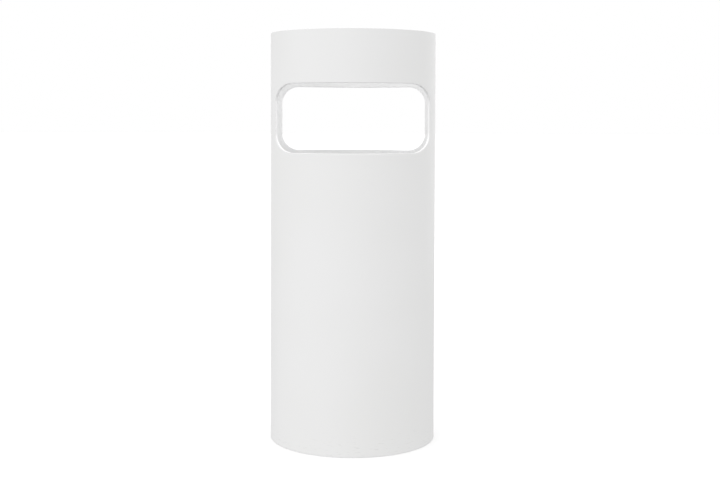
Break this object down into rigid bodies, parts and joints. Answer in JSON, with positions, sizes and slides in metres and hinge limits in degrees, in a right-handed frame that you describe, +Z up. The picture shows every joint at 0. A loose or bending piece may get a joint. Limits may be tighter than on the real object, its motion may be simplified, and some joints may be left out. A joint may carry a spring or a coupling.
{
  "type": "umbrella stand",
  "caption": "Tall round umbrella stand: a smooth white moulded tube, open at the top, with wide rounded hand openings front and back and a lift-out drip tray.",
  "frame": {"origin": "on the floor, at the middle of the circle of feet, under the tube's axis", "axes": "+Z up along the tube's axis, -Y towards the front hand opening, +X to the right as seen from the front"},
  "size_m": [0.25, 0.2498, 0.61],
  "materials": {
    "white_tube": "satin-gloss white moulded ABS, coloured right through",
    "white_base": "white moulded polypropylene, fine matt texture",
    "white_tray": "white moulded polypropylene, satin",
    "ballast_steel": "grey powder-coated steel plate",
    "zinc_screws": "bright zinc plated",
    "foot_rubber": "matt black"
  },
  "bodies": {
    "stand": {"outer_shell": "white_tube", "base_pan": "white_base", "ballast_disc": "ballast_steel", "base_screws": "zinc_screws", "ballast_screws": "zinc_screws", "foot_pad_1": "foot_rubber", "foot_pad_2": "foot_rubber", "foot_pad_3": "foot_rubber", "foot_pad_4": "foot_rubber"},
    "tray": {"drip_tray": "white_tray"}
  },
  "joints": [
    {"name": "tray_lift", "type": "slide", "parent": "stand", "child": "tray", "axis": [0, 0, 1], "range_m": [0, 0.6]}
  ]
}
